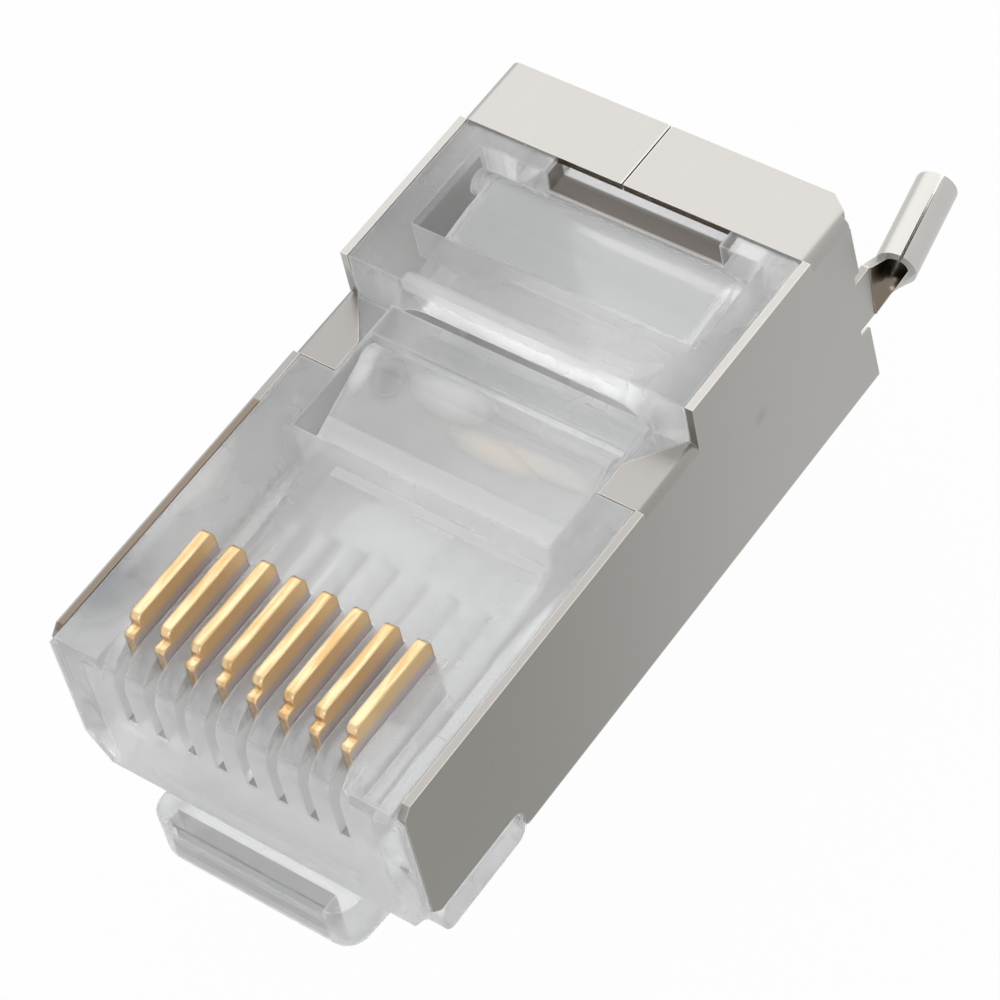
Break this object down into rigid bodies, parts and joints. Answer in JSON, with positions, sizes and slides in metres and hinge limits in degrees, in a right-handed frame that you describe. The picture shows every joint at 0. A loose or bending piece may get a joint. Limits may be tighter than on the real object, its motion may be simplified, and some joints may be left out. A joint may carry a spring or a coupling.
{
  "type": "shielded modular plug",
  "caption": "Clear modular plug in a folded metal shell, with raised contact blades, clamp bars, a sprung latch below and a drain wire tail.",
  "frame": {"origin": "middle of the flat nose face, on the plug's centre plane", "axes": "+X across the plug towards the wall with the drain wire tail, +Y from the nose to the cable end, +Z towards the contact side, so the latch hangs towards -Z"},
  "size_m": [0.0126, 0.0266, 0.011],
  "materials": {
    "clear_plastic": "clear moulded polycarbonate, slightly milky",
    "nickel_sheet": "satin nickel plated brass sheet",
    "gold_contact": "gold plated blade"
  },
  "bodies": {
    "housing_body": {"housing": "clear_plastic", "shield_shell": "nickel_sheet"},
    "latch": {"latch_lever": "clear_plastic"},
    "conductor_clamp_bar": {"conductor_clamp": "clear_plastic"},
    "jacket_clamp_bar": {"jacket_clamp": "clear_plastic"},
    "contact_1_blade": {"contact_1": "gold_contact"},
    "contact_2_blade": {"contact_2": "gold_contact"},
    "contact_3_blade": {"contact_3": "gold_contact"},
    "contact_4_blade": {"contact_4": "gold_contact"},
    "contact_5_blade": {"contact_5": "gold_contact"},
    "contact_6_blade": {"contact_6": "gold_contact"},
    "contact_7_blade": {"contact_7": "gold_contact"},
    "contact_8_blade": {"contact_8": "gold_contact"}
  },
  "joints": [
    {"name": "latch_hinge", "type": "hinge", "parent": "housing_body", "child": "latch", "pos_m": [0, 0.00125, -0.00345], "axis": [1, 0, 0], "range_deg": [0, 9], "stiffness_Nm_per_rad": 0.3},
    {"name": "conductor_clamp_hinge", "type": "hinge", "parent": "housing_body", "child": "conductor_clamp_bar", "pos_m": [0, 0.0119, 0.0021], "axis": [1, 0, 0], "range_deg": [0, 22]},
    {"name": "jacket_clamp_hinge", "type": "hinge", "parent": "housing_body", "child": "jacket_clamp_bar", "pos_m": [0, 0.01815, 0.00295], "axis": [1, 0, 0], "range_deg": [0, 35]},
    {"name": "contact_1_crimp", "type": "slide", "parent": "housing_body", "child": "contact_1_blade", "axis": [0, 0, -1], "range_m": [0, 0.0009]},
    {"name": "contact_2_crimp", "type": "slide", "parent": "housing_body", "child": "contact_2_blade", "axis": [0, 0, -1], "range_m": [0, 0.0009]},
    {"name": "contact_3_crimp", "type": "slide", "parent": "housing_body", "child": "contact_3_blade", "axis": [0, 0, -1], "range_m": [0, 0.0009]},
    {"name": "contact_4_crimp", "type": "slide", "parent": "housing_body", "child": "contact_4_blade", "axis": [0, 0, -1], "range_m": [0, 0.0009]},
    {"name": "contact_5_crimp", "type": "slide", "parent": "housing_body", "child": "contact_5_blade", "axis": [0, 0, -1], "range_m": [0, 0.0009]},
    {"name": "contact_6_crimp", "type": "slide", "parent": "housing_body", "child": "contact_6_blade", "axis": [0, 0, -1], "range_m": [0, 0.0009]},
    {"name": "contact_7_crimp", "type": "slide", "parent": "housing_body", "child": "contact_7_blade", "axis": [0, 0, -1], "range_m": [0, 0.0009]},
    {"name": "contact_8_crimp", "type": "slide", "parent": "housing_body", "child": "contact_8_blade", "axis": [0, 0, -1], "range_m": [0, 0.0009]}
  ]
}
